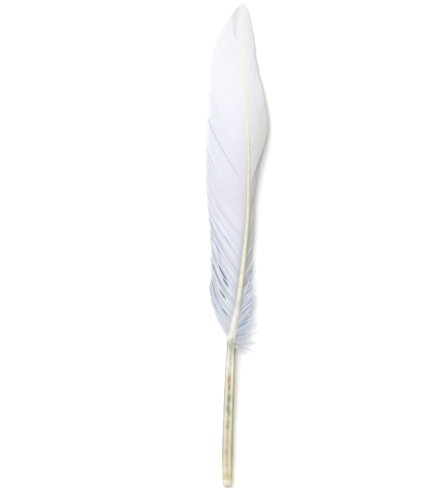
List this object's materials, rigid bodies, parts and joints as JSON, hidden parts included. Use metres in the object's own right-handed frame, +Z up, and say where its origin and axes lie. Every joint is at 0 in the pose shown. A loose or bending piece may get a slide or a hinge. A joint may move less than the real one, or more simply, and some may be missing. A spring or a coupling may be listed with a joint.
{
  "type": "turkey quill feather",
  "caption": "White turkey wing quill with a pale lilac tint, lying flat: a bare round quill, a tapering rachis, a broad and a narrow vane, and down at the base.",
  "frame": {"origin": "middle of the feather's outline seen from above, on the surface that it lies on", "axes": "+Y along the feather from the quill to the tip, +X towards the narrow vane, +Z up from the upper side"},
  "size_m": [0.0357, 0.28, 0.0105],
  "materials": {
    "feather": "soft matte barbs, white with a pale lilac tint",
    "quill": "smooth translucent cream horn, mottled grey and ochre inside"
  },
  "bodies": {
    "root": {"feather": "feather"}
  },
  "joints": []
}
